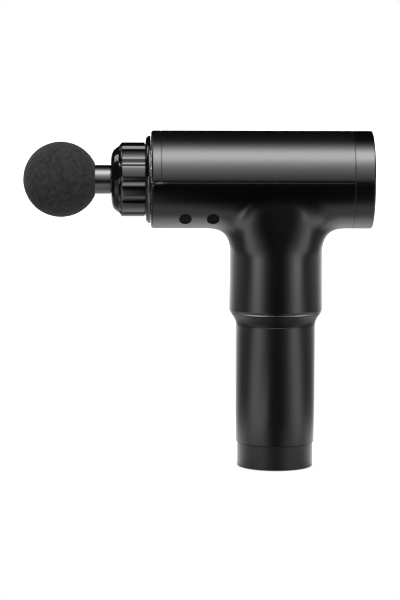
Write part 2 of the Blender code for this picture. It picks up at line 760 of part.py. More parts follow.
def battery():
    for i, (x, y) in enumerate(cell_centres()):
        profile = [
            (0, CELL_TOP),
            (3.0, CELL_TOP),
            (3.0, CELL_TOP - 1),
            (CELL_R - 0.5, CELL_TOP - 1),
            (CELL_R, CELL_TOP - 1.5),
            (CELL_R, CELL_BOTTOM),
            (0, CELL_BOTTOM),
        ]
        turned(f"battery_cell_{i + 1}", profile, "cell_wrap", at=(x, y, 0), segments=16)
    cell_holder("cell_holder_upper", 80.0, 84.5)
    cell_holder("cell_holder_lower", 24.0, 28.5)
    turned("battery_board", [(0, 90.2), (21, 90.2), (21, 88.6), (0, 88.6)], "circuit_board", segments=24)
    box("controller_board", (-15, 9.0, 106), (15, 10.6, 139), "circuit_board")
    rod("main_capacitor", 5.0, (8, 3.4, 112), (8, 3.4, 132), "inner_plastic", 16)
    red = [(-6, 0, 90.6), (-6, 0, 96), (-8, 3, 102), (-9, 6, 108), (-9, 7.6, 114)]
    black = [(6, 0, 90.6), (6, 0, 95), (2, 2, 101), (-3, 6, 107), (-4, 7.6, 114)]
    lead("battery_lead_red", red, 1.0, "wire_red")
    lead("battery_lead_black", black, 1.0, "wire_black")
    up = [(12, 9.8, 141.0), (16.5, 9.4, 141.8), (22, 6, 145.5), (24.1, 3, 152), (24.6, 0, 162)]
    back = [(24.8, 0, 178), (34, 0, 188), (46, 0, 190), (53.4, 0, 190.5)]
    lead("display_lead", up + back, 1.0, "wire_black")


def base():
    bottom_edge = arc(BASE_R - 1.4, 1.4, 1.4, 0, -90, 2)
    profile = [
        (23.5, 20.5),
        (23.5, RING_SEAM),
        (BASE_R, RING_SEAM),
        *bottom_edge,
        (0, 0),
        (0, 3.2),
        (21.5, 3.2),
        (21.5, 20.5),
    ]
    cap = turned("base_cap", profile, "base_plastic", segments=36)
    window = box("rocker_window", (ROCKER_X - 6.5, -5.2, -1), (ROCKER_X + 6.5, 5.2, 5), None, CUTTERS)
    socket_hole = rod("socket_hole", 4.4, (SOCKET_X, 0, -1), (SOCKET_X, 0, 5), None, 20, CUTTERS)
    cut(cap, window, socket_hole)
    socket = [(0, 13), (4.1, 13), (4.1, 0.5), (3.1, 0.5), (3.1, 10), (1.0, 10), (1.0, 1.5), (0, 1.5)]
    turned("charge_socket", socket, "inner_plastic", at=(SOCKET_X, 0, 0), segments=20)
    body = box("rocker_body", (ROCKER_X - 6.2, -4.9, 0.6), (ROCKER_X + 6.2, 4.9, 12), "inner_plastic")
    pocket = box("rocker_pocket", (ROCKER_X - 5, -3.7, 0), (ROCKER_X + 5, 3.7, 7.5), None, CUTTERS)
    cut(body, pocket)
    face = [(-4.3, 5.6), (4.3, 5.6), (4.3, 1.0), (0, 1.6), (-4.3, 1.0)]
    outline = [(ROCKER_X + x, z) for x, z in face]
    prism("power_rocker", outline, -3.4, 3.4, "base_plastic", (ROCKER_X, 0, ROCKER_PIVOT))


def build():
    housing()
    side_screws()
    nose()
    rear_end()
    drive_frame()
    motor()
    crank()
    connecting_rod()
    plunger()
    ball_head()
    handle()
    battery()
    base()


build()
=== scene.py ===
"""Studio view of the massage gun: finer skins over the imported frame, materials, lights and camera.

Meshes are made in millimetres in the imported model's own frame and scaled to metres at the end.
Barrel parts are turned about an axis along X, so their profile heights are plain x positions.
"""

import json
import math

import bmesh
import bpy
import numpy as np
from mathutils import Matrix, Vector, noise


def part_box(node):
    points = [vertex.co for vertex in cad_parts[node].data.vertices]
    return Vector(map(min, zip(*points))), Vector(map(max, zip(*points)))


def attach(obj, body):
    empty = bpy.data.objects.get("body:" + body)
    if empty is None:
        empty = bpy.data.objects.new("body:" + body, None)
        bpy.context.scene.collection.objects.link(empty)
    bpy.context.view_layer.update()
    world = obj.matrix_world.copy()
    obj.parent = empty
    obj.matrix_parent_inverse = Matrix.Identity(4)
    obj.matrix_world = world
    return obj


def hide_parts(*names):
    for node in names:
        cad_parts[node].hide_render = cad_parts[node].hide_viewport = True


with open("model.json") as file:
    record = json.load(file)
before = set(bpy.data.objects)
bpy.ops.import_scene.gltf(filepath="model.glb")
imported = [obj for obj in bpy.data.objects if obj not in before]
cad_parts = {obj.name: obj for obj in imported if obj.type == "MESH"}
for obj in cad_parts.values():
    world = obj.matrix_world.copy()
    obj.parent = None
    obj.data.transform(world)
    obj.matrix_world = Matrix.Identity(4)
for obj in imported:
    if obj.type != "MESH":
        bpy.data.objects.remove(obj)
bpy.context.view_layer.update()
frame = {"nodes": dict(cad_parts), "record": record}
MM = 0.001
SHARP_DEG = 38


def span(node):
    """A CAD node's lowest and highest corners in millimetres."""
    low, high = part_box(node)
    return low / MM, high / MM


# ---- Sizes ---------------------------------------------------------------------------------------
# In millimetres and degrees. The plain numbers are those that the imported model's boxes do not give.

UPPER_LOW, UPPER_HIGH = span("upper_housing")
NECK_LIP = span("lower_housing")[0].z
BAND_LOW, BAND_HIGH = span("front_band")
RING_LOW, RING_HIGH = span("rear_ring")
LENS_LOW, LENS_HIGH = span("rear_lens")
BUTTON_LOW, BUTTON_HIGH = span("rear_button")
NOSE_LOW, NOSE_HIGH = span("nose_collar")
FLANGE_LOW, FLANGE_HIGH = span("front_flange")
STEM_END = span("head_stem")[1].x
BALL_LOW, BALL_HIGH = span("ball_head")
COLLAR_LOW, COLLAR_HIGH = span("neck_ring")
TUBE_LOW, TUBE_HIGH = span("handle_tube")
BASE_LOW, BASE_HIGH = span("base_cap")
ROCKER_LOW, ROCKER_HIGH = span("power_rocker")
SOCKET_LOW, SOCKET_HIGH = span("charge_socket")
SEAL_LOW, SEAL_HIGH = span("nose_seal")

BARREL_R = (UPPER_HIGH.y - UPPER_LOW.y) / 2
BARREL_Z = UPPER_HIGH.z - BARREL_R
WALL = 2.6
FRONT, REAR = BAND_LOW.x, UPPER_HIGH.x
PART_DEG = 0.35
FRONT_CHAMFER = 1.2
NECK_R = 31.0
NECK_CHAMFER = 2.0
BLEND = 14.0
NOSE_R = (NOSE_HIGH.y - NOSE_LOW.y) / 2
STEM_R = 9.62
BALL_R = (BALL_HIGH.z - BALL_LOW.z) / 2
BALL_X = BALL_LOW.x + BALL_R
BALL_CAVITY_R = 13.3
TUBE_R = (TUBE_HIGH.y - TUBE_LOW.y) / 2
BASE_R = (BASE_HIGH.y - BASE_LOW.y) / 2
WELL_R, WELL_DEPTH = 4.15, 8.5
WELL_TILT_DEG = 7.0
WELL_SIDE, WELL_DROP = 20.6, 24.75
PLUG_DEPTH = 3.6
FINE_EDGE = (0.14, 2, 60)


# ---- Mesh helpers --------------------------------------------------------------------------------


def add_object(name, data):
    """A new object in the scene."""
    obj = bpy.data.objects.new(name, data)
    bpy.context.scene.collection.objects.link(obj)
    return obj


def object_from(name, bm):
    """An object from a bmesh, which it uses up."""
    mesh = bpy.data.meshes.new(name)
    bm.to_mesh(mesh)
    bm.free()
    return add_object(name, mesh)


def to_metres(bm):
    """Turns the faces outwards and scales a bmesh in millimetres to metres."""
    bmesh.ops.recalc_face_normals(bm, faces=bm.faces)
    bmesh.ops.scale(bm, vec=(MM, MM, MM), verts=bm.verts)
    return bm


def smooth(obj, sharp_deg=SHARP_DEG):
    """Smooth shading that keeps the edges sharper than an angle."""
    obj.data.shade_smooth()
    obj.data.set_sharp_from_angle(angle=math.radians(sharp_deg))


def mesh_piece(name, bm, body, material, node=None, sharp_deg=SHARP_DEG):
    """A shown piece from a bmesh in millimetres, riding on a body and standing for a CAD node."""
    obj = object_from(name, to_metres(bm))
    smooth(obj, sharp_deg)
    obj.data.materials.append(material)
    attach(obj, body)
    if node:
        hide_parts(node)
    return obj


def rounded(corners, steps=4):
    """Profile points from (radius, height, fillet) corners, each fillet a small curve with a lead-in."""
    points = []
    count = len(corners)
    for i, (r, h, fillet) in enumerate(corners):
        here = Vector((r, h))
        if not fillet:
            points.append(here)
            continue
        before = Vector(corners[i - 1][:2]) - here
        after = Vector(corners[(i + 1) % count][:2]) - here
        reach = min(fillet, before.length * 0.45, after.length * 0.45)
        lead = min(0.12, before.length * 0.04, after.length * 0.04)
        a, b = before.normalized(), after.normalized()
        points.append(here + a * (reach + lead))
        for k in range(steps + 1):
            t = k / steps
            points.append(here + a * reach * (1 - t) ** 2 + b * reach * t**2)
        points.append(here + b * (reach + lead))
    return [(max(p.x, 0.0), p.y) for p in points]


def arc(centre_r, centre_h, radius, start_deg, end_deg, steps):
    """Profile points on an arc, angles measured from the radius direction towards +height."""
    turns = [math.radians(start_deg + (end_deg - start_deg) * i / steps) for i in range(steps + 1)]
    return [
        (max(0.0, centre_r + radius * math.cos(a)), centre_h + radius * math.sin(a)) for a in turns
    ]


def lathe(profile, segments=160, axis="Z", at=(0, 0, 0)):
    """A bmesh of a (radius, height) profile turned fully about Z, or about the barrel's axis."""
    bm = bmesh.new()
    closed = profile[0][0] > 1e-6
    rings = []
    for r, h in profile:
        if r <= 1e-6:
            rings.append([bm.verts.new((0, 0, h))])
            continue
        ring = []
        for k in range(segments):
            a = 2 * math.pi * k / segments
            ring.append(bm.verts.new((r * math.cos(a), r * math.sin(a), h)))
        rings.append(ring)
    pairs = list(zip(rings, rings[1:]))
    if closed:
        pairs.append((rings[-1], rings[0]))
    for one, two in pairs:
        stitch(bm, one, two)
    if axis == "X":
        turn = Matrix(((0, 0, 1, 0), (0, 1, 0, 0), (-1, 0, 0, 0), (0, 0, 0, 1)))
        bmesh.ops.transform(bm, matrix=turn, verts=bm.verts)
        at = (at[0], at[1], at[2] + BARREL_Z)
    bmesh.ops.translate(bm, vec=at, verts=bm.verts)
    return bm


def stitch(bm, one, two):
    """Faces between two closed rings of vertices, either of which may be a single point."""
    count = max(len(one), len(two))
    for k in range(count):
        j = (k + 1) % count
        if len(one) == 1 and len(two) == 1:
            return
        if len(one) == 1:
            bm.faces.new((one[0], two[j], two[k]))
        elif len(two) == 1:
            bm.faces.new((one[k], one[j], two[0]))
        else:
            bm.faces.new((one[k], one[j], two[j], two[k]))


def plate(low, high, bevel):
    """A bmesh box with rounded edges."""
    bm = bmesh.new()
    bmesh.ops.create_cube(bm, size=1.0)
    bmesh.ops.scale(bm, vec=Vector(high) - Vector(low), verts=bm.verts)
    bmesh.ops.translate(bm, vec=(Vector(high) + Vector(low)) / 2, verts=bm.verts)
    bmesh.ops.bevel(bm, geom=bm.edges[:], offset=bevel, segments=3, profile=0.5, affect="EDGES")
    return bm


def apply_modifiers(obj):
    """Replaces an object's mesh by what its modifiers make of it."""
    shown = obj.evaluated_get(bpy.context.evaluated_depsgraph_get())
    made = bpy.data.meshes.new_from_object(shown)
    obj.modifiers.clear()
    obj.data = made


def round_edges(obj, width, segments, above_deg):
    """A bevel, its width in millimetres, of the edges sharper than an angle."""
    edge = obj.modifiers.new("Edge", "BEVEL")
    edge.width = width * MM
    edge.segments = segments
    edge.limit_method = "ANGLE"
    edge.angle_limit = math.radians(above_deg)


def carve(obj, cutters):
    """Applies the modifiers, cuts the cutters' shapes out of the object and removes the cutters."""
    for tool in cutters:
        modifier = obj.modifiers.new("Cut", "BOOLEAN")
        modifier.operation = "DIFFERENCE"
        modifier.object = tool
        modifier.solver = "EXACT"
    apply_modifiers(obj)
    for tool in cutters:
        bpy.data.objects.remove(tool, do_unlink=True)


# ---- Materials -----------------------------------------------------------------------------------


class Nodes:
    """Short calls for a material's node tree."""

    def __init__(self, name):
        self.material = bpy.data.materials.new(name)
        self.material.use_nodes = True
        self.tree = self.material.node_tree
        self.shader = self.tree.nodes["Principled BSDF"]
        self.coordinate = self.tree.nodes.new("ShaderNodeTexCoord").outputs["Object"]

    def link(self, out, to):
        self.tree.links.new(out, to)

    def stretched(self, scale):
        """Object coordinates in millimetres, stretched by a factor along each axis."""
        node = self.tree.nodes.new("ShaderNodeMapping")
        node.inputs["Scale"].default_value = [1000 * s for s in scale]
        self.link(self.coordinate, node.inputs["Vector"])
        return node.outputs["Vector"]

    def noise(self, size, detail=2.0, roughness=0.5, stretch=(1, 1, 1)):
        """Noise from 0 to 1 with features about size millimetres across."""
        node = self.tree.nodes.new("ShaderNodeTexNoise")
        node.inputs["Scale"].default_value = 1 / size
        node.inputs["Detail"].default_value = detail
        node.inputs["Roughness"].default_value = roughness
        self.link(self.stretched(stretch), node.inputs["Vector"])
        return node.outputs["Fac"]

    def cells(self, size, stretch=(1, 1, 1)):
        """Distance from the middles of cells about size millimetres across."""
        node = self.tree.nodes.new("ShaderNodeTexVoronoi")
        node.inputs["Scale"].default_value = 1 / size
        self.link(self.stretched(stretch), node.inputs["Vector"])
        return node.outputs["Distance"]

    def spread(self, fac, low, high, start=0.3, end=0.7):
        """Maps start..end of a factor to low..high."""
        node = self.tree.nodes.new("ShaderNodeMapRange")
        self.link(fac, node.inputs["Value"])
        for key, value in (("From Min", start), ("From Max", end), ("To Min", low), ("To Max", high)):
            node.inputs[key].default_value = value
        return node.outputs["Result"]

    def mix(self, fac, one, two):
        """A colour between two, by a factor."""
        node = self.tree.nodes.new("ShaderNodeMix")
        node.data_type = "RGBA"
        self.link(fac, node.inputs["Factor"])
        node.inputs["A"].default_value = (*one, 1.0)
        node.inputs["B"].default_value = (*two, 1.0)
        return node.outputs["Result"]

    def bump(self, height, strength, distance_mm, after=None):
        """A normal from a height, on top of the normal given after."""
        node = self.tree.nodes.new("ShaderNodeBump")
        node.inputs["Strength"].default_value = strength
        node.inputs["Distance"].default_value = distance_mm * MM
        self.link(height, node.inputs["Height"])
        if after:
            self.link(after, node.inputs["Normal"])
        return node.outputs["Normal"]

    def set(self, **values):
        """Sets the shader's uniform values, with underscores for the spaces in their names."""
        for key, value in values.items():
            self.shader.inputs[key.replace("_", " ")].default_value = value


def moulded(name, colour, roughness, specular=0.5, grain=0.35, depth=0.004, vary=0.25):
    """Painted or moulded plastic: a fine even grain, faint mottling and uneven roughness."""
    n = Nodes(name)
    darker = [c * (1 - vary) for c in colour]
    lighter = [c * (1 + vary) for c in colour]
    n.link(n.mix(n.noise(9.0, 3.0), darker, lighter), n.shader.inputs["Base Color"])
    rough = n.spread(n.noise(4.0, 4.0, 0.6), roughness * 0.93, roughness * 1.07)
    n.link(rough, n.shader.inputs["Roughness"])
    n.link(n.bump(n.noise(grain, 2.0), 0.35, depth), n.shader.inputs["Normal"])
    n.set(Specular_IOR_Level=specular)
    return n.material


def machined(name, colour, roughness, along, line=0.12, depth=0.002):
    """Turned or drawn metal with fine lines across the axis given."""
    n = Nodes(name)
    stretch = [0.02 if a != along else 1.0 for a in "XYZ"]
    lines = n.noise(line, 2.0, 0.6, stretch)
    n.link(n.mix(lines, [c * 0.85 for c in colour], colour), n.shader.inputs["Base Color"])
    n.link(n.spread(lines, roughness * 0.8, roughness * 1.25), n.shader.inputs["Roughness"])
    n.link(n.bump(lines, 0.3, depth), n.shader.inputs["Normal"])
    n.set(Metallic=1.0)
    return n.material


FOAM_DARK = (0.0035, 0.0035, 0.0037)
FOAM_LIGHT = (0.022, 0.022, 0.0225)


def foam(name):
    """Fine closed-cell foam: small pores, soft mottling and a little sheen."""
    n = Nodes(name)
    mottle = n.noise(3.2, 7.0, 0.8)
    patches = n.spread(mottle, 0, 1, 0.35, 0.65)
    n.link(n.mix(patches, FOAM_DARK, FOAM_LIGHT), n.shader.inputs["Base Color"])
    pores = n.bump(n.spread(n.cells(0.55), 0, 1, 0.0, 0.5), 0.5, 0.12)
    n.link(n.bump(n.noise(1.1, 5.0, 0.7), 0.6, 0.25, pores), n.shader.inputs["Normal"])
    n.link(n.spread(n.noise(2.0), 0.88, 0.98), n.shader.inputs["Roughness"])
    n.set(Specular_IOR_Level=0.15, Sheen_Weight=0.06, Sheen_Roughness=0.5)
    return n.material


def board(name, colour):
    """A circuit board: solder mask with faint copper runs under it."""
    n = Nodes(name)
    runs = n.spread(n.cells(2.4, (1, 0.35, 1)), 0, 1, 0.25, 0.3)
    n.link(n.mix(runs, colour, [min(1, c * 1.8) for c in colour]), n.shader.inputs["Base Color"])
    n.link(n.bump(runs, 0.3, 0.03), n.shader.inputs["Normal"])
    n.link(n.spread(n.noise(3.0), 0.35, 0.5), n.shader.inputs["Roughness"])
    return n.material


SHELL = moulded("satin_shell", (0.0016, 0.0016, 0.0017), 0.25, grain=0.28)
# The lower shell is a darker copy of the satin shell: its lower colour is painted shade, so the
# underside and the neck's middle read darker.
SHELL_LOWER_SHADED = moulded("satin_shell_lower_painted_shade", (0.0006, 0.0006, 0.0006), 0.19, grain=0.28)
GLOSS = moulded("polished_black", (0.0015, 0.0015, 0.0015), 0.10, grain=1.2, depth=0.002)
RING = moulded("rear_ring_black", (0.001, 0.001, 0.001), 0.18, grain=0.3, depth=0.002)
HANDLE = moulded("handle_black", (0.0012, 0.0012, 0.0012), 0.225, grain=0.25, depth=0.003)
SKIRT = moulded("skirt_black", (0.002, 0.002, 0.002), 0.34, specular=0.2, grain=0.3)
BASE = moulded("base_grey", (0.0038, 0.0038, 0.004), 0.27, specular=0.4, grain=0.3, depth=0.006)
RUBBER = moulded("rubber_black", (0.0012, 0.0012, 0.0012), 0.7, specular=0.06, grain=0.5, depth=0.05)
LENS = moulded("smoked_lens", (0.003, 0.003, 0.004), 0.05, grain=6.0, depth=0.001)
STEM = machined("anodised_stem", (0.072, 0.072, 0.074), 0.24, "X")
PLUNGER = machined("plunger_steel", (0.62, 0.62, 0.64), 0.22, "X")
BRIGHT = machined("bright_cut_edge", (0.40, 0.40, 0.41), 0.25, "Z")
FOAM = foam("charcoal_foam")
INLAY = moulded("pale_inlay", (0.45, 0.46, 0.48), 0.5, vary=0.05)
INNER = {
    "steel": machined("inner_steel", (0.55, 0.55, 0.57), 0.28, "Z"),
    "aluminium": machined("inner_aluminium", (0.72, 0.72, 0.74), 0.36, "X"),
    "bronze": machined("inner_bronze", (0.55, 0.36, 0.16), 0.36, "X"),
    "copper": machined("inner_copper", (0.75, 0.34, 0.16), 0.35, "Z", line=0.5, depth=0.1),
    "magnet": machined("inner_magnet", (0.35, 0.35, 0.36), 0.4, "Z"),
    "circuit_board": board("inner_board", (0.02, 0.16, 0.07)),
    "inner_plastic": moulded("inner_nylon", (0.05, 0.05, 0.055), 0.55),
    "cell_wrap": moulded("cell_wrap", (0.05, 0.22, 0.42), 0.38, grain=1.5),
    "wire_red": moulded("wire_red", (0.55, 0.03, 0.02), 0.5, grain=0.6),
    "wire_black": moulded("wire_black", (0.02, 0.02, 0.02), 0.5, grain=0.6),
    "rubber": RUBBER,
    "shell": SHELL,
    "trim_gloss": GLOSS,
    "ring_metal": RING,
    "handle_skin": HANDLE,
    "base_plastic": BASE,
    "stem_metal": STEM,
    "foam": FOAM,
    "lens": LENS,
}


# ---- The lower barrel half with the neck ---------------------------------------------------------


def smoothstep(t):
    """0 below 0, 1 above 1, and a smooth rise between."""
    t = np.clip(t, 0.0, 1.0)
    return t * t * (3 - 2 * t)


ROUND_POWER, SQUARE_POWER = 2.0, 3.05
SQUARE_FROM, SQUARE_OVER = -49.0, 30.0


def neck_power(h):
    """Power of the neck's superellipse section: round at the lip, squarer under the barrel."""
    squareness = smoothstep((h - SQUARE_FROM) / SQUARE_OVER)
    return ROUND_POWER + (SQUARE_POWER - ROUND_POWER) * squareness


def neck_radius(z):
    """Half the neck's width, less at the chamfer above its lip."""
    return NECK_R - 0.4 * np.clip(NECK_LIP + NECK_CHAMFER - z, 0.0, None)


def barrel_radius(x):
    """The barrel's radius, less at the chamfer of its front end."""
    return BARREL_R - np.clip(FRONT + FRONT_CHAMFER - x, 0.0, None)


def skin_distance(p):
    """How far each point is outside the barrel blended with the neck; heights are from the axis."""
    x, y, h = p.T
    barrel = np.hypot(y, h) - barrel_radius(x)
    n = neck_power(h)
    across = (np.abs(x) ** n + np.abs(y) ** n) ** (1 / n)
    neck = np.where(h < 0, across - neck_radius(h + BARREL_Z), 1e3)
    ax, ay = np.abs(x) ** (n - 1), np.abs(y) ** (n - 1)
    alike = np.abs(y) * ay / (np.hypot(y, h) * np.hypot(ax, ay) + 1e-9)
    width = 0.5 + BLEND * (1 - alike)
    share = np.clip(width - np.abs(barrel - neck), 0.0, None) / width
    return np.minimum(barrel, neck) - share * share * width / 4


def onto_skin(p):
    """Moves points along the gradient of skin_distance until they lie on the skin."""
    step = 1e-3
    for _ in range(14):
        away = skin_distance(p)
        slope = np.stack(
            [skin_distance(p + step * e) - skin_distance(p - step * e) for e in np.eye(3)], 1
        ) / (2 * step)
        p = p - (away / np.maximum((slope**2).sum(1), 1e-6))[:, None] * slope
    return p


def skin_directions(rear, side, front):
    """Directions round the handle's axis, with a column at each corner of the unrolled skin."""
    half = BARREL_R * math.radians(90 - PART_DEG)
    corner_rear = math.atan2(half, REAR)
    corner_front = math.atan2(half, FRONT)
    stretches = (
        (-corner_rear, corner_rear, rear),
        (corner_rear, corner_front, side),
        (corner_front, 2 * math.pi - corner_front, front),
        (2 * math.pi - corner_front, 2 * math.pi - corner_rear, side),
    )
    return [a + (b - a) * i / n for a, b, n in stretches for i in range(n)]


def skin_edge(angle, inset):
    """Where a direction meets the unrolled skin's edge: x, and the angle round the barrel."""
    half = BARREL_R * math.radians(90 - PART_DEG) - inset
    c, s = math.cos(angle), math.sin(angle)
    end = REAR - inset if c > 0 else -(FRONT + inset)
    scale = min(end / max(abs(c), 1e-9), half / max(abs(s), 1e-9))
    return c * scale, s * scale / BARREL_R


EDGE_INSETS = (FRONT_CHAMFER, FRONT_CHAMFER - 0.15, 0.5, 0.0)
EDGE_ROWS = len(EDGE_INSETS) + 1


def skin_column(angle, neck_rows, barrel_rows):
    """Points up one direction of the neck and along the barrel to its edge, before blending."""
    c, s = math.cos(angle), math.sin(angle)
    reach = NECK_R / (abs(c) ** SQUARE_POWER + abs(s) ** SQUARE_POWER) ** (1 / SQUARE_POWER)
    crease_x, crease_turn = reach * c, math.asin(reach * s / BARREL_R)
    crease_h = -BARREL_R * math.cos(crease_turn)
    low = NECK_LIP - BARREL_Z
    lip = low + NECK_CHAMFER
    heights = [low, low + 0.5, lip - 0.15, lip, lip + 0.15]
    for i in range(1, neck_rows):
        heights.append(lip + (crease_h - lip) * math.sin(math.pi / 2 * i / neck_rows))
    points = []
    for h in heights:
        n = float(neck_power(h))
        r = float(neck_radius(h + BARREL_Z)) / (abs(c) ** n + abs(s) ** n) ** (1 / n)
        points.append((r * c, r * s, h))
    inner_x, inner_turn = skin_edge(angle, FRONT_CHAMFER + 0.15)
    for i in range(barrel_rows):
        t = (i / (barrel_rows - 1)) ** 1.3
        x = crease_x + (inner_x - crease_x) * t
        turn = crease_turn + (inner_turn - crease_turn) * t
        points.append((x, BARREL_R * math.sin(turn), -BARREL_R * math.cos(turn)))
    for inset in EDGE_INSETS:
        x, turn = skin_edge(angle, inset)
        r = float(barrel_radius(x))
        points.append((x, r * math.sin(turn), -r * math.cos(turn)))
    return points


def lower_housing():
    """The lower skin as a grid of columns; only its lip and its edge rows stay where they are."""
    turns = skin_directions(rear=44, side=56, front=52)
    columns = [skin_column(a, neck_rows=26, barrel_rows=24) for a in turns]
    points = np.array(columns)
    fixed = np.zeros(points.shape[:2], bool)
    fixed[:, 0] = True
    fixed[:, -EDGE_ROWS:] = True
    flat = points.reshape(-1, 3)
    moved = np.where(fixed.reshape(-1)[:, None], flat, onto_skin(flat))
    moved[:, 2] += BARREL_Z
    rows = points.shape[1]
    bm = bmesh.new()
    verts = [bm.verts.new(p) for p in moved]
    count = len(columns)
    for i in range(count):
        for j in range(rows - 1):
            a, b = i * rows + j, ((i + 1) % count) * rows + j
            bm.faces.new((verts[a], verts[b], verts[b + 1], verts[a + 1]))
    # The lower skin takes the darker copy of the shell, whose colour holds painted shade.
    obj = mesh_piece("lower_shell", bm, "housing", SHELL_LOWER_SHADED, "lower_housing")
    wall = obj.modifiers.new("Wall", "SOLIDIFY")
    wall.thickness = WALL * MM
    wall.offset = -1.0
    wall.use_even_offset = True
    round_edges(obj, *FINE_EDGE)
    wells = []
    for plug in range(1, 5):
        mouth, inward = well_axis(plug)
        bm = lathe([(0, WELL_DEPTH), (WELL_R, WELL_DEPTH), (WELL_R, -14), (0, -14)], 48)
        aim(bm, mouth, inward)
        wells.append(object_from(f"well_{plug}", to_metres(bm)))
    carve(obj, wells)
    smooth(obj)


def well_axis(plug):
    """Mouth point and inward direction of a screw well, from its rubber plug's box."""
    low, high = span(f"screw_plug_{plug}")
    side = -1 if high.y < 0 else 1
    tilt = math.radians(WELL_TILT_DEG)
    inward = Vector((0, -side * math.cos(tilt), math.sin(tilt)))
    middle = (low + high) / 2
    return Vector((middle.x, side * WELL_SIDE, BARREL_Z - WELL_DROP)), inward


def aim(bm, at, along):
    """Turns local Z to a direction and moves the bmesh to a point."""
    turn = Vector((0, 0, 1)).rotation_difference(along).to_matrix().to_4x4()
    bmesh.ops.transform(bm, matrix=Matrix.Translation(at) @ turn, verts=bm.verts)


def screw_plugs():
    """Rubber plugs a little below the skin, each with a rounded edge and a shallow dimple."""
    for plug in range(1, 5):
        mouth, inward = well_axis(plug)
        edge = WELL_R - 0.25
        face = [(0, 0.45, 0), (edge * 0.5, 0.35, 0), (edge - 0.9, 0.15, 0), (edge, 0.3, 0.5)]
        bm = lathe(rounded([*face, (edge, PLUG_DEPTH, 0), (0, PLUG_DEPTH, 0)]), 64)
        aim(bm, mouth, inward)
        for vert in bm.verts:
            if (vert.co - mouth).dot(inward) < PLUG_DEPTH - 1.1:
                settle(vert, inward, BARREL_R - 0.25)
        name, node = f"rubber_plug_{plug}", f"screw_plug_{plug}"
        mesh_piece(name, bm, "housing", RUBBER, node, sharp_deg=60)


def settle(vert, inward, radius):
    """Moves a vertex along a well's axis so that its height in the flat plug follows the barrel."""
    y, h = vert.co.y, vert.co.z - BARREL_Z
    a = inward.y**2 + inward.z**2
    b = y * inward.y + h * inward.z
    c = y * y + h * h - radius * radius
    vert.co += inward * ((-b - math.sqrt(max(b * b - a * c, 0.0))) / a + 0.5)


# ---- Upper barrel --------------------------------------------------------------------------------


def half_ring(name, corners, node):
    """The upper half of a turned barrel skin, closed, with fine rounded edges at the parting line."""
    profile = rounded(corners)
    steps = 96
    turns = [math.radians(PART_DEG + (180 - 2 * PART_DEG) * k / steps) for k in range(steps + 1)]
    bm = bmesh.new()
    rings = []
    for a in turns:
        ring = [bm.verts.new((h, r * math.cos(a), BARREL_Z + r * math.sin(a))) for r, h in profile]
        rings.append(ring)
    for one, two in zip(rings, rings[1:]):
        stitch(bm, one, two)
    bm.faces.new(rings[0])
    bm.faces.new(list(reversed(rings[-1])))
    obj = mesh_piece(name, bm, "housing", SHELL, node)
    round_edges(obj, *FINE_EDGE)
    apply_modifiers(obj)
    smooth(obj)


def upper_barrel():
    """The cover and the front band, with liners in the gaps at the band and at the rear ring."""
    inner = BARREL_R - WALL
    cover = [
        (BARREL_R, UPPER_HIGH.x, 0.25),
        (BARREL_R, UPPER_LOW.x, 0.25),
        (inner, UPPER_LOW.x, 0),
        (inner, UPPER_HIGH.x, 0),
    ]
    half_ring("upper_cover", cover, "upper_housing")
    band = [
        (BARREL_R, BAND_HIGH.x, 0.25),
        (BARREL_R, FRONT + FRONT_CHAMFER, 0.3),
        (BARREL_R - FRONT_CHAMFER, FRONT, 0.3),
        (inner - 0.6, FRONT + 0.6, 0),
        (inner, FRONT + 2.0, 0),
        (inner, BAND_HIGH.x, 0),
    ]
    half_ring("band_cover", band, "front_band")
    seam("front_seam", "X", BAND_HIGH.x, UPPER_LOW.x, BARREL_R - 0.2, BASE)
    seam("rear_seam", "X", REAR, REAR + 0.3, BARREL_R - 0.3, BASE)


def seam(name, axis, low, high, radius, material):
    """A thin ring in the bottom of a gap between two pieces, so that no light shows through it."""
    inner = radius - 1.8
    liner = [(radius, low + 0.02), (radius, high - 0.02), (inner, high - 0.02), (inner, low + 0.02)]
    mesh_piece(name, lathe(liner, 192, axis), "housing", material)


# ---- Nose, flange and rear end -------------------------------------------------------------------

FLUTES = 12
FLUTE_HALF = 2.45
FLUTE_DEPTH = 1.25
FLUTE_FRONT = -101.9
DOME = [(24.4, -102.6), (22.3, -104.3), (19.6, -107.6), (17.0, -109.0), (14.3, -109.65)]
FLUTED_ABOVE_R = 18.0
NOSE_MOUTH_R, NOSE_BORE_R = 11.8, 14.2
NOSE_BORE_FRONT = -107.8


def flute_depth(radius, x, turn):
    """Depth of the nearest flute at a point of the nose's outside."""
    pitch = 2 * math.pi / FLUTES
    off = (turn + pitch / 2) % pitch - pitch / 2
    s = abs(off) * radius
    away = math.hypot(s, FLUTE_FRONT - x) if x < FLUTE_FRONT else s
    t = min(max((FLUTE_HALF - away) / 0.75, 0.0), 1.0)
    return FLUTE_DEPTH * t * t * (3 - 2 * t)


def nose_columns():
    """Angles round the nose, close together at the flutes' edges."""
    pitch = 2 * math.pi / FLUTES
    edges = [0.0, 0.3, 0.55, 0.66, 0.72, 0.78, 0.84, 0.9, 0.96, 1.02, 1.1, 1.3, 1.7, 2.15]
    near = [s * FLUTE_HALF / NOSE_R for s in edges]
    offsets = sorted({*near, *(-s for s in near)})
    offsets = [o for o in offsets if -pitch / 2 < o <= pitch / 2] + [pitch / 2]
    return [pitch * (k + 0.5) + o for k in range(FLUTES) for o in offsets]


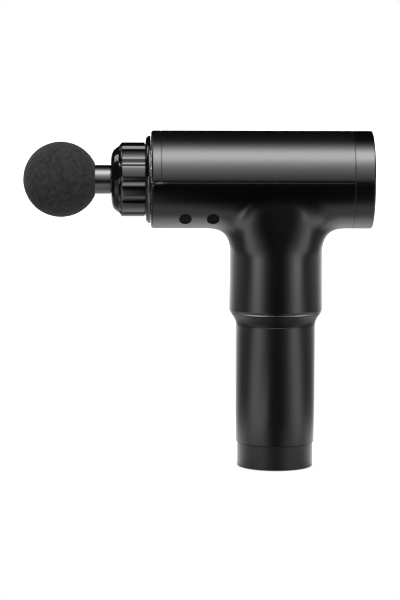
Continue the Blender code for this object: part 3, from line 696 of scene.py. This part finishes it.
def nose():
    """The fluted collar: the outside from its rear to the mouth, then the bore back to the rear."""
    front, rear = NOSE_LOW.x, NOSE_HIGH.x
    outer = refine([(NOSE_R, rear), (NOSE_R, -101.6), *DOME, (NOSE_MOUTH_R, front)], 0.45)
    bore = [
        (NOSE_MOUTH_R, front, 0.3),
        (NOSE_MOUTH_R, NOSE_BORE_FRONT, 0),
        (NOSE_BORE_R, NOSE_BORE_FRONT, 0),
        (NOSE_BORE_R, rear, 0),
    ]
    angles = nose_columns()
    bm = bmesh.new()
    rings = []
    for r, x in outer:
        ring = []
        for a in angles:
            radius = r - flute_depth(r, x, a) if r > FLUTED_ABOVE_R else r
            ring.append(bm.verts.new((x, radius * math.cos(a), BARREL_Z + radius * math.sin(a))))
        rings.append(ring)
    # The first two points of the bore lie on its closing edge and are left out.
    for r, x in rounded(bore)[2:]:
        rings.append([bm.verts.new((x, r * math.cos(a), BARREL_Z + r * math.sin(a))) for a in angles])
    for one, two in zip(rings, rings[1:] + rings[:1]):
        stitch(bm, one, two)
    mesh_piece("fluted_nose", bm, "housing", GLOSS, "nose_collar", sharp_deg=55)


def refine(outline, step):
    """A smooth open curve through the outline, with points about a step apart where it bends."""
    made = []
    for i in range(len(outline) - 1):
        p0 = Vector(outline[max(i - 1, 0)])
        p1, p2 = Vector(outline[i]), Vector(outline[i + 1])
        p3 = Vector(outline[min(i + 2, len(outline) - 1)])
        length = (p2 - p1).length
        count = max(2, round(length / step))
        m1 = (p2 - p0) / max((p2 - p0).length, 1e-6) * length
        m2 = (p3 - p1) / max((p3 - p1).length, 1e-6) * length
        if i < 1:
            m1 = m2 = p2 - p1
        for k in range(count):
            t = k / count
            a = 2 * t**3 - 3 * t**2 + 1
            b = t**3 - 2 * t**2 + t
            c = -2 * t**3 + 3 * t**2
            d = t**3 - t**2
            made.append(tuple(a * p1 + b * m1 + c * p2 + d * m2))
    made.append(outline[-1])
    return made


def front_end():
    """The nose, the flange with its rounded bead, and the seal's lip round the plunger."""
    nose()
    seam("nose_seam", "X", NOSE_HIGH.x, FLANGE_LOW.x, NOSE_R - FLUTE_DEPTH - 0.1, RUBBER)
    flange_r = (FLANGE_HIGH.y - FLANGE_LOW.y) / 2
    start = FLANGE_HIGH.x - 0.3
    depth, height, bore_r = start - FLANGE_LOW.x, 3.6, 16.0
    turns = [math.pi / 2 * k / 14 for k in range(15)]
    bead = [(flange_r - height * (1 - math.cos(a)), start - depth * math.sin(a)) for a in turns]
    rim = [(flange_r - 0.3, FLANGE_HIGH.x), *bead, (bore_r, FLANGE_LOW.x), (bore_r, FLANGE_HIGH.x)]
    bm = lathe(rim, 192, "X")
    mesh_piece("flange_ring", bm, "housing", GLOSS, "front_flange")
    seal_r = (SEAL_HIGH.y - SEAL_LOW.y) / 2
    mouth_r, lip_r, rear_r = 12.4, 11.25, 12.2
    lip = [
        (seal_r, SEAL_HIGH.x, 0.2),
        (seal_r, SEAL_LOW.x, 0.3),
        (mouth_r, SEAL_LOW.x, 0.4),
        (lip_r, SEAL_LOW.x + 1.2, 0.3),
        (rear_r, SEAL_HIGH.x, 0.3),
    ]
    bm = lathe(rounded(lip), 96, "X")
    mesh_piece("seal_lip", bm, "housing", RUBBER, "nose_seal")


def rear_end():
    """The rear ring with its spigot in the barrel, the lens in its recess, the button and the marks."""
    front, shoulder, rear = RING_LOW.x, RING_LOW.x + 3.6, RING_HIGH.x
    ledge = LENS_LOW.x - 0.4
    spigot_r, bore_r, recess_r = 28.6, 27.0, 29.4
    ring = [
        (BARREL_R, shoulder, 0.25),
        (spigot_r, shoulder, 0),
        (spigot_r, front, 0),
        (bore_r, front, 0),
        (bore_r, ledge, 0),
        (recess_r, ledge, 0),
        (recess_r, rear, 0.35),
        (BARREL_R, rear, 1.3),
    ]
    bm = lathe(rounded(ring, 6), 192, "X")
    mesh_piece("rear_bezel", bm, "housing", RING, "rear_ring")
    lens_r = (LENS_HIGH.y - LENS_LOW.y) / 2
    button_r = (BUTTON_HIGH.y - BUTTON_LOW.y) / 2
    hole = button_r + 0.3
    panel = [
        (lens_r, LENS_HIGH.x, 0.4),
        (lens_r, LENS_LOW.x, 0),
        (hole, LENS_LOW.x, 0),
        (hole, LENS_HIGH.x, 0.2),
    ]
    mesh_piece("lens_panel", lathe(rounded(panel), 160, "X"), "housing", LENS, "rear_lens")
    dish = [
        (0, BUTTON_HIGH.x - 0.45, 0),
        (button_r * 0.5, BUTTON_HIGH.x - 0.35, 0),
        (button_r - 1.0, BUTTON_HIGH.x, 0.3),
        (button_r, BUTTON_HIGH.x, 0.5),
        (button_r, BUTTON_LOW.x, 0.2),
        (0, BUTTON_LOW.x, 0),
    ]
    bm = lathe(rounded(dish), 96, "X")
    mesh_piece("round_button", bm, "rear_button", BASE, "rear_button")
    panel_marks()


def panel_marks():
    """Pale marks: a power sign on the button, and around it plus, minus and a row of level lights."""
    face = BUTTON_HIGH.x - 0.36
    bm = bmesh.new()
    stroke(bm, [polar(2.6, a) for a in range(130, 411, 10)], 0.35, face, 0.1)
    stroke(bm, [(0, 1.2), (0, 3.4)], 0.35, face, 0.1)
    mesh_piece("power_mark", bm, "rear_button", INLAY)
    lens, arm, out = LENS_HIGH.x, 2.2, 18
    bm = bmesh.new()
    stroke(bm, [(-arm, out), (arm, out)], 0.4, lens, 0.05)
    stroke(bm, [(0, out - arm), (0, out + arm)], 0.4, lens, 0.05)
    stroke(bm, [(-arm, -out), (arm, -out)], 0.4, lens, 0.05)
    for middle_deg in (180, 0):
        for k in range(5):
            y, h = polar(19.5, middle_deg + (k - 2) * 13)
            stroke(bm, [(y - 0.01, h), (y + 0.01, h)], 0.7, lens, 0.05)
    mesh_piece("panel_marks", bm, "housing", INLAY)


def polar(radius, degrees):
    """A point of the rear panel: (y, height from the axis)."""
    a = math.radians(degrees)
    return radius * math.cos(a), radius * math.sin(a)


def stroke(bm, route, half, x, proud):
    """A flat line with round ends, lying on a plane of constant x."""
    points = [Vector(point) for point in route]
    last = len(points) - 1
    turns = [math.pi * k / 6 for k in range(1, 6)]
    left, right, ends = [], [], []
    for i, point in enumerate(points):
        along = (points[min(i + 1, last)] - points[max(i - 1, 0)]).normalized()
        aside = Vector((-along.y, along.x)) * half
        left.append(point + aside)
        right.append(point - aside)
        if i in (0, last):
            cap = (along if i else -along) * half
            ends.append([point + cap * math.sin(t) + aside * math.cos(t) for t in turns])
    outline = left + ends[1] + right[::-1] + ends[0][::-1]
    low = [bm.verts.new((x - 0.1, p.x, BARREL_Z + p.y)) for p in outline]
    high = [bm.verts.new((x + proud, p.x, BARREL_Z + p.y)) for p in outline]
    bm.faces.new(low)
    bm.faces.new(high)
    stitch(bm, low, high)


# ---- Head ----------------------------------------------------------------------------------------

PLUG_R, SHANK_R, CORE_R = 7.4, 7.5, 13.0
COLLAR_REAR, COLLAR_FRONT = -106.3, -122.0
GROOVES = (-87.5, -99.0)


def ball_head():
    """The foam ball round the stem's core, uneven by about a tenth of a millimetre."""
    mouth = STEM_R + 0.3
    neck = math.degrees(math.asin((mouth + 1.4) / BALL_R))
    skin = arc(0, BALL_X, BALL_R, 90 - neck, -90, 120)
    shank, floor_x = SHANK_R + 0.3, COLLAR_FRONT - 0.3
    cavity_neck = math.degrees(math.asin(shank / BALL_CAVITY_R))
    cavity = arc(0, BALL_X, BALL_CAVITY_R, -90, 90 - cavity_neck, 24)
    top = skin[0][1]
    lip = [(mouth + 0.7, top + 0.35), (mouth + 0.2, top + 0.1), (mouth, top - 0.6)]
    socket = [(shank, floor_x), (mouth, floor_x), *reversed(lip)]
    bm = lathe(cavity + socket + skin, 240, "X")
    centre = Vector((BALL_X, 0, BARREL_Z))
    for vert in bm.verts:
        out = vert.co - centre
        if out.length > BALL_R - 1.0:
            rough = noise.noise(vert.co * 0.9) * 0.05 + noise.noise(vert.co * 0.25) * 0.06
            vert.co -= out.normalized() * (0.11 + rough)
    obj = mesh_piece("foam_ball", bm, "massage_head", FOAM, "ball_head")


def head_stem():
    """The stem from its plug with two O-ring grooves to the core inside the ball."""
    corners = [(0, STEM_END, 0), (PLUG_R, STEM_END, 0.9)]
    for x in GROOVES:
        for r, off in ((PLUG_R, 1.1), (PLUG_R - 0.9, 1.1), (PLUG_R - 0.9, -1.1), (PLUG_R, -1.1)):
            corners.append((r, x + off, 0.15 if r == PLUG_R else 0))
    corners += [(PLUG_R, COLLAR_REAR, 0.2), (STEM_R, COLLAR_REAR, 0.6)]
    corners += [(STEM_R, COLLAR_FRONT, 0.4), (SHANK_R, COLLAR_FRONT, 0)]
    core = arc(0, BALL_X, CORE_R, 90 - math.degrees(math.asin(SHANK_R / CORE_R)), -90, 16)
    bm = lathe(rounded(corners) + core, 128, "X")
    mesh_piece("stem", bm, "massage_head", STEM, "head_stem")


# ---- Handle and base -----------------------------------------------------------------------------

SKIRT_R, SKIRT_HEIGHT = 30.0, 7.4


def handle():
    """The skirt that flares from the tube to the neck, the tube, and the neck's bright edge."""
    bottom, top, upper = COLLAR_LOW.z, COLLAR_LOW.z + SKIRT_HEIGHT, COLLAR_HIGH.z
    flare = []
    for i in range(17):
        share = 1 - i / 16
        r = TUBE_R + (SKIRT_R - TUBE_R) * share**1.6
        flare.append((r, bottom + (top - bottom) * share, {0: 0.3, 16: 0.2}.get(i, 0)))
    spigot_r, bore_r = 27.3, 24.5
    ring = [(spigot_r, upper, 0), (spigot_r, top, 0), *flare, (bore_r, bottom, 0), (bore_r, upper, 0)]
    mesh_piece("skirt", lathe(rounded(ring), 160), "housing", SKIRT, "neck_ring")
    low, high, end = TUBE_LOW.z, bottom - 0.3, TUBE_HIGH.z
    spigot_r, bore_r, throat_r = 24.1, 23.9, 22.0
    tube = [
        (spigot_r, end, 0),
        (spigot_r, high, 0),
        (TUBE_R, high, 0.25),
        (TUBE_R - 0.05, low, 0.25),
        (bore_r, low, 0),
        (bore_r, 88.5, 0),
        (throat_r, 92.0, 0),
        (throat_r, end, 0),
    ]
    mesh_piece("grip_tube", lathe(rounded(tube), 160), "housing", HANDLE, "handle_tube")
    seam("skirt_seam", "Z", high, bottom, TUBE_R - 0.1, BASE)
    low, high, inner = NECK_LIP - 0.12, NECK_LIP + 0.1, SKIRT_R - 1.0
    edge = [(30.25, low, 0.1), (inner, low, 0), (inner, high, 0), (30.35, high + 0.25, 0.1)]
    mesh_piece("bright_edge", lathe(rounded(edge), 192), "housing", BRIGHT)


def base():
    """The base cap with its spigot in the tube, the charging socket and the power rocker."""
    rim, end = TUBE_LOW.z - 0.3, BASE_HIGH.z
    spigot_r, bore_r, floor_z = 23.5, 21.5, 3.2
    cap = [
        (spigot_r, end, 0),
        (spigot_r, rim, 0),
        (BASE_R, rim, 0.25),
        (BASE_R, 0, 1.5),
        (BASE_R - 2.0, 0, 0),
        (0, 0, 0),
        (0, floor_z, 0),
        (bore_r, floor_z, 0),
        (bore_r, end, 0),
    ]
    bm = lathe(rounded(cap, 6), 160)
    obj = mesh_piece("base_shell", bm, "housing", BASE, "base_cap")
    rocker = (ROCKER_LOW + ROCKER_HIGH) / 2
    socket = (SOCKET_LOW + SOCKET_HIGH) / 2
    half_x, half_y, hole_r = 6.5, 5.2, 4.4
    window = plate((rocker.x - half_x, -half_y, -2), (rocker.x + half_x, half_y, 5), 0.8)
    hole = lathe([(0, 5), (hole_r, 5), (hole_r, -1), (0, -1)], 64, at=(socket.x, 0, 0))
    carve(obj, [object_from("window", to_metres(window)), object_from("hole", to_metres(hole))])
    smooth(obj, 30)
    outer_r, inner_r, pin_r, mouth = 4.1, 3.1, 1.0, 0.5
    barrel = [(0, 13, 0), (outer_r, 13, 0), (outer_r, mouth, 0.3), (inner_r, mouth, 0.2)]
    barrel += [(inner_r, 10, 0), (pin_r, 10, 0), (pin_r, 1.5, 0.4), (0, 1.5, 0)]
    bm = lathe(rounded(barrel), 64, at=(socket.x, 0, 0))
    mesh_piece("socket_barrel", bm, "housing", RUBBER, "charge_socket")
    rocker_switch(rocker)


def rocker_switch(rocker):
    """The rocker with its dished face and a raised dot at one end."""
    half_x, half_y = (ROCKER_HIGH - ROCKER_LOW).x / 2, (ROCKER_HIGH - ROCKER_LOW).y / 2
    top = ROCKER_HIGH.z
    outline = [(-half_x, top), (half_x, top)]
    for i in range(13):
        t = 1 - 2 * i / 12
        outline.append((half_x * t, 1.6 - 0.6 * abs(t) ** 1.3))
    bm = bmesh.new()
    near = [bm.verts.new((rocker.x + x, -half_y, z)) for x, z in outline]
    far = [bm.verts.new((rocker.x + x, half_y, z)) for x, z in outline]
    bm.faces.new(near)
    bm.faces.new(far)
    stitch(bm, near, far)
    obj = mesh_piece("rocker_key", bm, "power_rocker", GLOSS, "power_rocker")
    round_edges(obj, 0.25, 3, 40)
    apply_modifiers(obj)
    dot = lathe(rounded([(0, 0.95, 0), (0.7, 0.95, 0.1), (0.7, 1.6, 0), (0, 1.6, 0)]), 24)
    bmesh.ops.translate(dot, vec=(rocker.x - half_x + 1.6, 0, 0.2), verts=dot.verts)
    mesh_piece("rocker_dot", dot, "power_rocker", INLAY)


# ---- Materials of the CAD nodes that stay --------------------------------------------------------


def finish_cad_nodes():
    """Gives each CAD node the material of its slot; the steel plunger has its own."""
    for part in frame["record"]["subparts"]:
        obj = frame["nodes"][part["node"]]
        material = PLUNGER if part["node"] == "plunger" else INNER[part["material_slot"]]
        obj.data.materials.clear()
        obj.data.materials.append(material)


# ---- Studio --------------------------------------------------------------------------------------

LIT_POINT = (-0.02, 0, 0.14)
LIGHT_DISTANCE = 1.5


def softbox(name, azimuth, elevation, size, radiance):
    """A soft light at a direction from the object, azimuth from the camera's side towards +X."""
    light = bpy.data.lights.new(name, "AREA")
    light.shape = "RECTANGLE"
    light.size, light.size_y = size
    light.energy = radiance * math.pi * size[0] * size[1]
    obj = add_object(name, light)
    a, e = math.radians(azimuth), math.radians(elevation)
    out = Vector((math.sin(a) * math.cos(e), -math.cos(a) * math.cos(e), math.sin(e)))
    obj.location = Vector(LIT_POINT) + out * LIGHT_DISTANCE
    obj.rotation_euler = out.to_track_quat("Z", "Y").to_euler()
    obj.visible_camera = False


def math_node(tree, operation, *values):
    """A math node's output; values that are floats are set, and others are linked."""
    node = tree.nodes.new("ShaderNodeMath")
    node.operation = operation
    for socket, value in zip(node.inputs, values):
        if isinstance(value, float):
            socket.default_value = value
        else:
            tree.links.new(value, socket)
    return node.outputs[0]


def ramp(tree, value, start, end, low, high):
    """A smooth change from low to high as the value goes from start to end."""
    node = tree.nodes.new("ShaderNodeMapRange")
    node.interpolation_type = "SMOOTHSTEP"
    tree.links.new(value, node.inputs["Value"])
    for key, number in (("From Min", start), ("From Max", end), ("To Min", low), ("To Max", high)):
        node.inputs[key].default_value = number
    return node.outputs["Result"]


def direction(tree, vector):
    """Splits the unit vector of a position or direction."""
    unit = tree.nodes.new("ShaderNodeVectorMath")
    unit.operation = "NORMALIZE"
    tree.links.new(vector, unit.inputs[0])
    split = tree.nodes.new("ShaderNodeSeparateXYZ")
    tree.links.new(unit.outputs[0], split.inputs[0])
    return split.outputs


def white_to_camera(tree, glow, strength):
    """Sets an emission strength: white where it is looked at, the glow where it lights the object."""
    seen = tree.nodes.new("ShaderNodeLightPath").outputs["Is Camera Ray"]
    tree.links.new(math_node(tree, "MAXIMUM", seen, glow), strength)


# Radiance of the overhead canopy by angle round X, in degrees from the camera's side over the top.
CANOPY = (
    (0, 0.5), (8, 1.1), (18, 1.7), (28, 2.6), (40, 5.0), (48, 8.4), (56, 11.4),
    (64, 11.6), (74, 7.4), (84, 3.0), (93, 0.75), (104, 0.06), (120, 0.0), (180, 0.0),
)

AMBIENT = 0.02

# Radiance of the floor by direction from the base, given as 1 minus the cosine of the angle from the
# camera's side: 0 is towards the camera, 1 to either side and 2 away from it. FLOOR_UNDER holds close
# to the base and FLOOR_RING round the object, and between the HANDOVER distances they change over.
FLOOR_RING = (
    (0.0, 0.0), (0.04, 0.05), (0.13, 0.3), (0.26, 0.9), (0.41, 1.65), (0.58, 2.0),
    (0.74, 1.45), (0.9, 0.65), (1.05, 0.32), (1.22, 0.25), (1.5, 0.35), (2.0, 0.5),
)
FLOOR_UNDER = (
    (0.0, 0.05), (0.05, 0.4), (0.15, 0.85), (0.4, 0.75), (0.8, 1.0), (1.3, 1.7), (2.0, 1.7),
)
HANDOVER = (0.10, 0.22)
BASE_EDGE = (0.024, 0.034)
PATCH = ((-0.155, -0.24), (0.045, 0.09))


def curve(tree, value, points):
    """Follows the points given, whose first coordinate runs from 0 to 1."""
    peak = max(height for place, height in points)
    node = tree.nodes.new("ShaderNodeFloatCurve")
    line = node.mapping.curves[0].points
    line[0].location = (0.0, points[0][1] / peak)
    line[1].location = (1.0, points[-1][1] / peak)
    for place, height in points[1:-1]:
        line.new(place, height / peak)
    node.mapping.update()
    tree.links.new(value, node.inputs["Value"])
    return math_node(tree, "MULTIPLY", node.outputs[0], peak)


def canopy():
    """A long curved softbox over the object, brightest at 60 degrees and fading to both sides."""
    world = bpy.data.worlds.new("studio")
    bpy.context.scene.world = world
    world.use_nodes = True
    tree = world.node_tree
    x, y, z = direction(tree, tree.nodes.new("ShaderNodeTexCoord").outputs["Generated"])
    turn = math_node(tree, "ARCTAN2", z, math_node(tree, "MULTIPLY", y, -1.0))
    glow = curve(tree, math_node(tree, "DIVIDE", turn, math.pi), [(a / 180, r) for a, r in CANOPY])
    width = ramp(tree, math_node(tree, "ABSOLUTE", x), 0.22, 0.55, 1.0, 0.0)
    above = ramp(tree, z, -0.02, 0.02, 0.0, 1.0)
    glow = math_node(tree, "MULTIPLY", math_node(tree, "MULTIPLY", glow, width), above)
    background = tree.nodes["Background"]
    background.inputs["Color"].default_value = (1.0, 1.0, 1.0, 1.0)
    white_to_camera(tree, math_node(tree, "ADD", glow, AMBIENT), background.inputs["Strength"])


def patch_of_light(tree, place, centre, half, radiance):
    """A soft-edged rectangle of light on the floor, for the stem's lower highlight."""
    split = tree.nodes.new("ShaderNodeSeparateXYZ")
    tree.links.new(place, split.inputs[0])
    shares = []
    for out, middle, reach in zip(split.outputs, centre, half):
        off = math_node(tree, "ABSOLUTE", math_node(tree, "ADD", out, -middle))
        shares.append(ramp(tree, off, reach * 0.3, reach * 1.7, 1.0, 0.0))
    share = math_node(tree, "MULTIPLY", *shares)
    return math_node(tree, "MULTIPLY", share, radiance)


def near_glow(tree, reach, turn):
    """Radiance close to the base: even under it, where it would show as a pattern, then by direction."""
    below = ramp(tree, reach, *BASE_EDGE, 0.6, 0.0)
    beyond = ramp(tree, reach, *BASE_EDGE, 0.0, 1.0)
    glow = curve(tree, turn, [(a / 2, r) for a, r in FLOOR_UNDER])
    glow = math_node(tree, "MULTIPLY_ADD", glow, beyond, below)
    return math_node(tree, "MULTIPLY", glow, ramp(tree, reach, *HANDOVER, 1.0, 0.0))


def ring_glow(tree, reach, turn, y):
    """Radiance round the object by direction, with more beside its foot and straight behind it.

    Within a metre it dips towards the back, so that the handle's edges stay dark.
    """
    turn = math_node(tree, "MULTIPLY", turn, ramp(tree, reach, 0.5, 1.2, 1.0, 1.6))
    glow = curve(tree, turn, [(a / 2, r) for a, r in FLOOR_RING])
    glow = math_node(tree, "MULTIPLY", glow, ramp(tree, reach, 1.0, 1.4, 1.0, 1.6))
    behind, close = ramp(tree, y, -0.3, 0.0, 0.0, 1.0), ramp(tree, reach, 0.16, 0.30, 0.8, 0.0)
    glow = math_node(tree, "ADD", glow, math_node(tree, "MULTIPLY", behind, close))
    dip, far = ramp(tree, y, 0.15, 0.75, 1.0, 0.4), ramp(tree, reach, 0.5, 1.1, 0.0, 1.0)
    back = ramp(tree, y, 0.4, 1.0, 0.0, 0.7)
    glow = math_node(tree, "MULTIPLY_ADD", glow, math_node(tree, "MAXIMUM", dip, far), back)
    return math_node(tree, "MULTIPLY", glow, ramp(tree, reach, *HANDOVER, 0.0, 1.0))


def floor():
    """White paper to the camera and a graded light to the object, with nothing to see from below."""
    bm = bmesh.new()
    bmesh.ops.create_grid(bm, x_segments=1, y_segments=1, size=12.0)
    bmesh.ops.translate(bm, vec=(0, 0, -0.0005), verts=bm.verts)
    obj = object_from("floor", bm)
    material = bpy.data.materials.new("pale_paper")
    obj.data.materials.append(material)
    material.use_nodes = True
    tree = material.node_tree
    place = tree.nodes.new("ShaderNodeTexCoord").outputs["Object"]
    length = tree.nodes.new("ShaderNodeVectorMath")
    length.operation = "LENGTH"
    tree.links.new(place, length.inputs[0])
    reach = length.outputs["Value"]
    y = direction(tree, place)[1]
    turn = math_node(tree, "MULTIPLY_ADD", y, 0.5, 0.5)
    glow = math_node(tree, "ADD", near_glow(tree, reach, turn), ring_glow(tree, reach, turn, y))
    glow = math_node(tree, "ADD", glow, patch_of_light(tree, place, *PATCH, 2.2))
    emission = tree.nodes.new("ShaderNodeEmission")
    white_to_camera(tree, glow, emission.inputs["Strength"])
    through = tree.nodes.new("ShaderNodeBsdfTransparent")
    mix = tree.nodes.new("ShaderNodeMixShader")
    tree.links.new(tree.nodes.new("ShaderNodeNewGeometry").outputs["Backfacing"], mix.inputs[0])
    tree.links.new(emission.outputs[0], mix.inputs[1])
    tree.links.new(through.outputs[0], mix.inputs[2])
    tree.links.new(mix.outputs[0], tree.nodes["Material Output"].inputs["Surface"])


def studio():
    """The canopy, the floor, two softboxes above and a low strip at either side."""
    canopy()
    floor()
    softbox("right_top", 72, 55, (0.80, 0.50), 3.0)
    softbox("left_top", -113, 40, (0.5, 0.4), 4.0)
    softbox("left_strip", -52, 4, (0.6, 0.28), 3.2)
    softbox("right_strip", 52, 4, (0.6, 0.28), 3.2)


CAMERA_PLACE = (-0.0964, -1.6256, 0.2858)


def camera():
    """The camera stands a little above the barrel, ahead of the handle, and looks slightly down."""
    data = bpy.data.cameras.new("camera")
    data.lens = 147.5
    obj = add_object("camera", data)
    bpy.context.scene.camera = obj
    yaw, pitch, roll = 0.0283, 0.107, 0.0035
    level = math.cos(pitch)
    ahead = Vector((math.sin(yaw) * level, math.cos(yaw) * level, -math.sin(pitch)))
    right = ahead.cross(Vector((0, 0, 1))).normalized()
    up = right.cross(ahead)
    right, up = (
        right * math.cos(roll) + up * math.sin(roll),
        up * math.cos(roll) - right * math.sin(roll),
    )
    turn = Matrix((right, up, -ahead)).transposed()
    obj.matrix_world = Matrix.Translation(CAMERA_PLACE) @ turn.to_4x4()
    bpy.context.scene.view_settings.view_transform = "Standard"


def build():
    camera()
    studio()
    finish_cad_nodes()
    lower_housing()
    upper_barrel()
    screw_plugs()
    front_end()
    rear_end()
    ball_head()
    head_stem()
    handle()
    base()


build()
